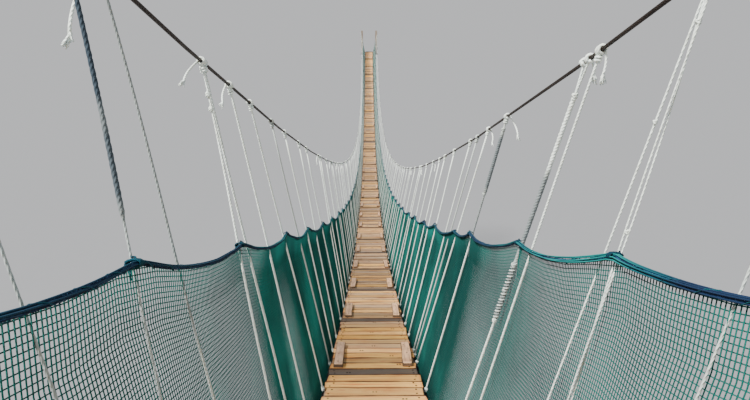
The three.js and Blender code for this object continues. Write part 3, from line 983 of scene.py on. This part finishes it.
def foot_rope(side):
    """The rope along the deck's edge that the hangers and the net are tied to, whipped at its ends. Its
    near-black colour is painted shade in the gap between the planks and the net.
    """
    y = np.linspace(POST_DEPTH, SPAN - POST_DEPTH, 8 * BAYS + 1)
    piece = Piece()
    add_tubes(piece, side_point(side, y, BASE_RISE), FOOT_ROPE_RADIUS, 8, UPWARD)
    _, outward, upward = side_axes(side, MIDDLE)
    for end in (POST_DEPTH + WHIPPING_FROM_POST, SPAN - POST_DEPTH - WHIPPING_FROM_POST):
        axes = (bay_direction(end), outward, upward)
        add_coil(piece, side_point(side, end, BASE_RISE), axes, FOOT_ROPE_RADIUS + 2 * SEAT,
                 WHIPPING_TURNS, WHIPPING_PITCH, CORD_RADIUS, 4, tint=(0.2, 0.9))
    piece.finish(f"foot_rope_{side}", FOOT_FIBRE, "hanger_rope", section_nodes(f"hangers_{side}"))


def half_round(centre, reach, out, upright, steps):
    """Half a turn round a rope, from above it to below it."""
    angle = np.linspace(math.pi / 2, -math.pi / 2, steps)[:, None]
    return centre + reach * (np.cos(angle) * out * ACROSS + np.sin(angle) * upright)


def staples(side):
    """Staples that pin the foot rope to the runner's outer face, two in each bay."""
    piece = Piece()
    out = SIDES[side]
    leg_end = out * (DECK_WIDTH / 2 - STAPLE_DEPTH)
    for bay in range(BAYS):
        for share in STAPLE_SHARES:
            y = place_of(bay + share)
            slope = bay_direction(y)
            path = half_round(side_point(side, y, BASE_RISE), FOOT_ROPE_RADIUS + STAPLE_GAP, out,
                              np.cross(ACROSS, slope), 7)
            path = np.pad(path, ((1, 1), (0, 0)), mode="edge")
            path[[0, -1], 0] = leg_end
            add_tubes(piece, path, STAPLE_RADIUS, 5, slope)
    piece.finish(f"staples_{side}", NAIL_STEEL, "cable_steel")


# The columns of a stretch, and how long a change between two stretches takes as a share of the hanger
THICKNESS, GREYNESS = 0, 1
STRETCH_FADES = (0.012, 0.050)


def stretched(share, plain, stretches, column):
    """A value along a hanger, changed where a stretch of it says so."""
    value = np.full(np.shape(share), float(plain))
    fade = STRETCH_FADES[column]
    for start, stop, *values in stretches:
        inside = np.clip((share - start) / fade + 0.5, 0, 1) * np.clip((stop - share) / fade + 0.5, 0, 1)
        value = value + (values[column] - value) * inside
    return value


def add_knot(piece, centre, axis, outward, radius, steps, tint):
    """A few tight turns round a rope."""
    thin = radius * 0.85
    add_coil(piece, centre, (axis, outward, np.cross(axis, outward)), radius * 1.55, KNOT_TURNS, thin * 2.0,
             thin * 0.9, 5 if steps > 8 else 4, steps=steps, tint=tint)


def add_lump(piece, centre, axis, outward, thickness, size, tint):
    """A bulky knot: two slanting rounds of rope, and one across them."""
    sideways = np.cross(axis, outward)
    reach = thickness * (0.7 + 0.5 * size)
    for tilt, shift in ((0.7, -0.5), (-0.6, 0.4), (0.15, 0.0)):
        slant = unit(axis + tilt * outward + 0.3 * tilt * sideways)
        first = unit(np.cross(slant, sideways))
        add_coil(piece, centre + shift * reach * axis, (slant, first, np.cross(slant, first)),
                 (reach, reach * 0.85), 1.6, thickness * 1.1, thickness * 0.62, 6, 1.3 * tilt, 10,
                 lobes=(1.0, 0.8), lay=HANGER_LAY, tint=tint)


def add_hanger(piece, ties, side, foot, lean, tied, style, fine, rng):
    """One hanger: its turns round the foot rope, its hitch on the cable, what it is made of between them,
    and its lashing to the hand rope."""
    make = HANGER_STYLES[style]
    stretches = make.get("stretches", ())
    legs = make.get("legs", 1.0)
    pair = make.get("pair", 0.0)
    low = side_point(side, foot, BASE_RISE)
    head_y = foot + lean
    head = cable_point(side, head_y)
    rising = unit(head - low)
    start = low + rising * FOOT_ROPE_RADIUS
    reach = head - rising * CABLE_RADIUS - start
    length = np.linalg.norm(reach)
    radius = HANGER_RADIUS * HANGER_THINNER
    tone = rng.uniform(0.6, 1.0)
    # Some hangers are blue-grey: partly the rope's own colour and partly painted shade.
    greyness = rng.choice([0.0, 0.05, 0.12, 0.4], p=[0.4, 0.3, 0.2, 0.1])
    steps, sides = (10, 5) if fine else (6, 4)

    def thickness_at(share):
        return stretched(share, 1.0, stretches, THICKNESS)

    def tint_at(share, fading=1.0):
        return pairs(tone, fading * stretched(share, greyness, stretches, GREYNESS))

    def add_rope(path, share, scale=1.0):
        shape = {"lobes": (1.0, 0.95), "lay": HANGER_LAY} if fine else {}
        add_tubes(piece, path, radius * scale * thickness_at(share), 6, ALONG,
                  tint=np.repeat(tint_at(share), 6, axis=0), **shape)

    share = np.linspace(0, legs, round(length * legs / HANGER_LAY * 4) if fine else 9)
    bow = HANGER_BOW * np.sin(math.pi * share[:, None] / legs * rng.integers(1, 4)) * (ACROSS + 0.6 * ALONG)
    for phase in (0, math.pi) if pair else (0,):
        turn = phase + PAIR_TURNS * 2 * math.pi * share[:, None]
        apart = pair / 2 * (np.cos(turn) * ACROSS + np.sin(turn) * ALONG)
        add_rope(start + share[:, None] * reach + bow + apart, share)

    cord = radius * min(1.0, 1.15 * thickness_at(0.99))
    axes = slope, outward, _ = side_axes(side, head_y)
    for shift in LEG_SPREAD if legs < 1 else (0,):
        top = head + shift * slope
        if legs < 1:
            share = np.linspace(legs - 0.01, 1, 24)
            root = start + legs * reach
            leg = top - CABLE_RADIUS * rising - root
            add_rope(root + (share[:, None] - legs) / (1 - legs) * leg, share, LEG_THINNER)
        turns = HITCH_TURNS if legs == 1 else HITCH_TURNS - 1
        add_coil(piece, top, axes, CABLE_RADIUS + cord * TURN_SINK, turns, cord * HITCH_PITCH, cord, sides,
                 rng.uniform(0, 6.28), steps, tint=tint_at(0.99))
    if legs == 1:
        knot = head - rising * (CABLE_RADIUS + KNOT_FROM_CABLE)
        add_knot(piece, knot, rising, outward, cord * KNOT_THICKER, steps, tint_at(0.99))
    axes = _, outward, _ = side_axes(side, foot)
    add_coil(piece, low, axes, FOOT_ROPE_RADIUS + cord * TURN_SINK, FOOT_TURNS, cord * FOOT_TURN_PITCH,
             cord, sides, 1.0, steps, tint=tint_at(0.01))
    knot = low + rising * (FOOT_ROPE_RADIUS + KNOT_FROM_FOOT_ROPE)
    add_knot(piece, knot, rising, outward, cord * KNOT_THICKER, steps, tint_at(0.01))

    for share, size in make.get("knots", ()):
        tint = (tone, 0.6 * tint_at(share - 0.02)[1])
        add_lump(piece, start + share * reach, rising, outward, cord, size, tint)
    for share_from, share_to in make.get("wraps", ()):
        share, stretch = (share_from + share_to) / 2, (share_to - share_from) * length
        turns = round(stretch / WRAP_PITCH)
        wrap_axes = (rising, outward, np.cross(rising, outward))
        for phase, lighter in ((0.0, 0.0), (math.pi, 0.35)):
            tint = (tone, max(tint_at(share)[1] - lighter, 0))
            add_coil(piece, start + share * reach, wrap_axes, cord * (0.45 + 0.85 * thickness_at(share)),
                     turns, stretch / turns, cord * 0.62, 5, phase, tint=tint)
    if tied:
        add_lashing(ties, side, foot, lean, fine, rng)


def add_lashing(ties, side, foot, lean, fine, rng):
    """Turns of cord round a hanger and the hand rope beside it, the lump of their knot, and loose ends."""
    y = hanger_at(side, foot, lean, HAND_ROPE_RISE)
    axes = slope, outward, upward = side_axes(side, y)
    middle = side_point(side, y, slack_rise(side, y), HAND_ROPE_OUTWARD * TIE_BETWEEN)
    wide, high = TIE_HALF_WIDTH, HAND_ROPE_CORE[side] + TIE_GAP
    steps, sides = (11, 5) if fine else (7, 4)
    tint = (rng.uniform(0.3, 0.9), rng.uniform(0, 0.4))
    add_coil(ties, middle, axes, (wide, high), TIE_TURNS, 2 * TIE_RADIUS, TIE_RADIUS, sides, 0.6, steps,
             tint=tint)
    lump = middle + outward * wide * rng.uniform(-0.5, 0.5) + upward * high
    aslant = unit(upward + rng.normal(0, 0.5) * slope + rng.normal(0, 0.5) * outward)
    add_knot(ties, lump, aslant, unit(np.cross(aslant, slope)), TIE_RADIUS, steps, tint)
    share = np.linspace(0, 1, 5)[:, None]
    for lie in (-1, 1):
        aim = unit(rng.uniform(0.2, 0.8) * slope * lie - upward + rng.uniform(-0.4, 0.4) * outward)
        root = middle + outward * wide * 0.9 - upward * 0.002 + slope * lie * 0.004
        path = root + share * aim * rng.uniform(0.005, 0.010) - 0.005 * share ** 2 * UPWARD
        add_tubes(ties, path, CORD_RADIUS, 4, outward, tint=tint)


def add_tail(piece, side, foot, lean, length, spread, away, bush, fine, rng):
    """The loose end of a hanger below its hitch on the cable, frayed into thin strands at the tip."""
    head_y = foot + lean
    slope, outward, upward = side_axes(side, head_y)
    share = np.linspace(0, 1, 8 if fine else 5)[:, None]
    head = cable_point(side, head_y)
    root = head + outward * (CABLE_RADIUS + 0.0015) - slope * 0.005
    aim = unit(-upward - spread * slope + away * outward)
    bulge = 0.25 * share * (1 - share) * (outward - 0.4 * spread * slope)
    bend = root + length * (share * aim + bulge)
    tint = (rng.uniform(0.8, 1.0), 0.0)
    add_tubes(piece, bend, HANGER_RADIUS * TAIL_THINNER, 5, outward, tint=tint)
    fray = np.linspace(0, 1, 4)[:, None]
    for _ in range(round(TAIL_STRANDS * bush) if fine else 4):
        way = unit(aim + rng.normal(0, TAIL_SPREAD) * outward + rng.normal(0, TAIL_SPREAD) * slope)
        strand = bend[-1] - 0.004 * aim + fray * way * rng.uniform(0.010, 0.019)
        strand = strand + fray ** 2 * rng.normal(0, 0.0015, 3)
        add_tubes(piece, strand, np.linspace(0.0018, 0.0009, 4), 3, outward, tint=tint)


def hangers(side):
    """All the hangers of one side, a piece for each section, and one piece for their lashings."""
    rng = np.random.default_rng(17 + SIDES[side])
    ties = Piece()
    for section, node in enumerate(section_nodes(f"hangers_{side}")):
        start, stop = section_ends(section, 0.0)
        piece = Piece()
        for foot, lean, tied, style in hanger_places(side):
            if start + HANGER_FROM_SECTION_END < foot < stop - HANGER_FROM_SECTION_END:
                fine = foot < FINE_REACH
                add_hanger(piece, ties, side, foot, lean, tied, style, fine, rng)
                if "tail" in HANGER_STYLES[style]:
                    add_tail(piece, side, foot, lean, *HANGER_STYLES[style]["tail"], fine, rng)
        piece.finish(f"{node}_ropes", HANGER_FIBRE, "hanger_rope", [node])
    ties.finish(f"hand_rope_ties_{side}", TIE_FIBRE, "hand_rope")


def net_point(side, y, share):
    """A point of the net: share is 0 at the foot rope and 1 at the hand rope."""
    bulge = np.sin(math.pi * share)
    billow = NET_BILLOW * bulge * (0.5 + 0.5 * np.sin(9.1 * y + SIDES[side]) * np.sin(3.7 * y + 1.3))
    onto_hand = np.clip((share - NET_ON_HAND_ROPE) / (1 - NET_ON_HAND_ROPE), 0, 1)
    onto_foot = np.clip(1 - share / NET_ON_FOOT_ROPE, 0, 1)
    on_hand_rope = HAND_ROPE_OUTWARD + HAND_ROPE_CORE[side]
    outward = ((NET_OUTWARD + billow) * (1 - onto_hand) + on_hand_rope * onto_hand
               - onto_foot * (NET_OUTWARD - FOOT_ROPE_RADIUS - SEAT))
    top = slack_rise(side, y) + HAND_ROPE_CORE[side] / 2
    rise = BASE_RISE + (top - BASE_RISE) * share - NET_WANDER * bulge * np.sin(6.1 * y + 4 * share)
    return side_point(side, y + NET_WANDER * bulge * np.sin(2.9 * y), rise, outward)


def net(side, section):
    """Square mesh of thin twine, from the foot rope to the hand rope."""
    start, stop = section_ends(section, SEAT)
    levels, stations = (9, 73) if section == 0 else (5, 33)
    piece = Piece()
    y = np.arange(start + NET_PITCH / 2, stop, NET_PITCH)
    add_tubes(piece, net_point(side, y[:, None], np.linspace(0, 1, levels)), TWINE_RADIUS, 3, ALONG)
    rows = round((HAND_ROPE_RISE - BASE_RISE) / NET_PITCH)
    y, share = np.linspace(start, stop, stations), np.linspace(0, 1, rows + 1)
    add_tubes(piece, net_point(side, y, share[:, None]), TWINE_RADIUS, 3, UPWARD)
    node = f"net_{side}_{section + 1}"
    piece.finish(f"{node}_mesh", NET_TWINE, "net", [node])


def net_lacing(side):
    """A cord wound round the foot rope and the lower edge of the net."""
    y, angle = lacing(POST_DEPTH + FOOT_LACING_FROM_POST, FOOT_LACING_PITCH)
    reach = FOOT_ROPE_RADIUS + FOOT_LACING_GAP
    rise = BASE_RISE + FOOT_LACING_LIFT + reach * np.sin(angle)
    path = side_point(side, y, rise, 2 * SEAT + reach * np.cos(angle))
    piece = Piece()
    add_tubes(piece, path, CORD_RADIUS, 3, UPWARD)
    piece.finish(f"net_lacing_{side}", NET_TWINE, "net")


def post_faces(side):
    """How far out the inner and the outer face of a post stand."""
    ropes = [abs(side_point(side, y, hand_rope_rise(y), HAND_ROPE_OUTWARD)[0]) for y in (0, POST_DEPTH)]
    inner = max(ropes) + HAND_ROPE_RADIUS + SEAT
    outer = abs(cable_point(side, POST_DEPTH)[0]) - CABLE_RADIUS - SEAT
    return inner, outer


STRAP_SECTION = (np.array([1, 1, -1, -1]) * STRAP_THICKNESS + np.array([-1, 1, 1, -1]) * STRAP_WIDTH * 1j) / 2


def saddle(straps, bolts, face_x, out, rope, slope, radius):
    """A bent strap that holds a rope against the face of a post, with a bolt above and below it."""
    upright = np.cross(ACROSS, slope)
    tab = STRAP_THICKNESS / 2 + METAL_SEAT
    flat = np.array([face_x + out * tab, *rope[1:]])
    bend = half_round(rope, radius + STRAP_THICKNESS / 2 + SEAT, out, upright, 13)
    tabs = np.array(STRAP_TABS)[:, None] * upright
    path = np.concatenate([(flat + tabs)[::-1], bend, flat - tabs])
    add_bars(straps, path, 1.0, STRAP_SECTION, slope)
    for level in (-STRAP_BOLT_LEVEL, STRAP_BOLT_LEVEL):
        bolts.append((flat + level * upright + out * (tab + WASHER_RISE) * ACROSS, out * ACROSS))


def end_frame(end):
    """A sill and two posts, with the plates and bolts that join them and the straps that hold the ropes."""
    rng = np.random.default_rng(5 if end == "near" else 6)
    back, inward = (0.0, 1) if end == "near" else (SPAN, -1)
    middle, front = back + inward * POST_DEPTH / 2, back + inward * POST_DEPTH
    bottom, top = SILL_SIZE / 2 + SEAT, DECK_END_HEIGHT + CABLE_RISE_END + POST_ABOVE_CABLE
    straps, bolts = Piece(), []
    facing = inward * ALONG
    plate_out = PLATE_SIZE[2] / 2
    slope = bay_direction(middle)
    reaches = {}
    for side, sign in SIDES.items():
        inner, outer = post_faces(side)
        reaches[side] = outer
        centre_x = sign * (inner + outer) / 2
        post = Piece()
        add_board(post, (centre_x, middle, (bottom + top) / 2), UPWARD, ACROSS,
                  (top - bottom, outer - inner, POST_DEPTH), TIMBER_CHAMFER, rng, stations=12,
                  tint=(rng.uniform(0.5, 0.75), rng.uniform(0.2, 0.5)))
        node = f"{end}_post_{side}"
        post.finish(f"{node}_timber", POST_WOOD, "post_wood", [node], smooth=False)

        saddle(straps, bolts, sign * outer, sign, cable_point(side, middle), slope, CABLE_RADIUS)
        rope = side_point(side, middle, hand_rope_rise(middle), HAND_ROPE_OUTWARD)
        saddle(straps, bolts, sign * inner, -sign, rope, slope, HAND_ROPE_RADIUS)

        plate = np.array([centre_x, front, bottom + PLATE_RISE]) + (plate_out + METAL_SEAT) * facing
        add_board(straps, plate, UPWARD, ACROSS, PLATE_SIZE, PLATE_CHAMFER, rng)
        for level in PLATE_BOLT_LEVELS:
            bolts.append((plate + (plate_out + WASHER_RISE) * facing + level * UPWARD, facing))
        for level in POST_BOLT_LEVELS:
            x = centre_x + rng.uniform(-BOLT_WANDER, BOLT_WANDER)
            bolts.append(((x, front, bottom + level), facing))
    sill = Piece()
    length = reaches["left"] + reaches["right"] + 2 * SILL_OVERHANG
    centre_x = (reaches["right"] - reaches["left"]) / 2
    add_board(sill, (centre_x, middle, 0), ACROSS, ALONG, (length, SILL_SIZE, SILL_SIZE), TIMBER_CHAMFER,
              rng, stations=10, tint=(0.6, 0.35))
    sill.finish(f"{end}_sill_timber", POST_WOOD, "post_wood", [f"{end}_sill"], smooth=False)
    for share in SILL_BOLT_SHARES:
        bolts.append(((centre_x + share * length, front, 0), facing))

    places, normals = (np.array(values) for values in zip(*bolts))
    straps.finish(f"{end}_straps", FITTING_STEEL, "cable_steel", smooth=False)
    heads = Piece()
    add_heads(heads, places, normals, WASHER_SIZE, 16)
    add_heads(heads, places + normals * BOLT_RISE, normals, BOLT_SIZE, 6)
    heads.finish(f"{end}_bolts", FITTING_STEEL, "cable_steel", smooth=False)


def place_object(name, data, location=(0, 0, 0), rotation=(0, 0, 0)):
    thing = bpy.data.objects.new(name, data)
    thing.location = location
    thing.rotation_euler = rotation
    bpy.context.collection.objects.link(thing)
    return thing


def floor():
    """A plain pale floor, far below the bridge."""
    paint = Shader("floor", roughness=0.95, specular=0.0)
    speckle = paint.noise(scale=2.0, detail=3.0)
    low, high = -FLOOR_REACH, SPAN + FLOOR_REACH
    corners = [(x, y, FLOOR_LEVEL) for x, y in ((low, low), (-low, low), (-low, high), (low, high))]
    mesh = bpy.data.meshes.new("floor")
    mesh.from_pydata(corners, [], [(0, 1, 2, 3)])
    mesh.materials.append(paint.finish(paint.mix(speckle, *FLOOR_COLOURS)))
    place_object("floor", mesh)


def light():
    """Soft light from all round, and a broad sun from behind the camera on the left."""
    world = bpy.data.worlds.new("studio")
    world.use_nodes = True
    sky = world.node_tree.nodes["Background"]
    sky.inputs["Color"].default_value = SKY_COLOUR
    sky.inputs["Strength"].default_value = SKY_STRENGTH
    bpy.context.scene.world = world
    sun = bpy.data.lights.new("key", "SUN")
    sun.energy = SUN_STRENGTH
    sun.angle = math.radians(SUN_ANGLE)
    sun.color = SUN_COLOUR
    place_object("key", sun, rotation=Vector(SUN_DIRECTION).to_track_quat("Z", "Y").to_euler())


def camera():
    """The photograph's camera."""
    lens = bpy.data.cameras.new("camera")
    lens.sensor_width = SENSOR_WIDTH
    lens.lens = FOCAL_PIXELS / PHOTO_WIDTH * SENSOR_WIDTH
    lens.clip_start = NEAREST_SEEN
    lens.clip_end = FARTHEST_SEEN
    rotation = (math.radians(90 - CAMERA_PITCH), 0, math.radians(-CAMERA_YAW))
    bpy.context.scene.camera = place_object("camera", lens, CAMERA_PLACE, rotation)


nails = []
for section in range(SECTIONS):
    planks(section, nails)
    deck_frame(section)
cleats(nails)
nail_heads(nails)
for side in SIDES:
    for part in (main_cable, hand_rope, net_edge, foot_rope, staples, hangers, net_lacing):
        part(side)
    for section in range(SECTIONS):
        net(side, section)
for end in ("near", "far"):
    end_frame(end)
floor()
light()
camera()
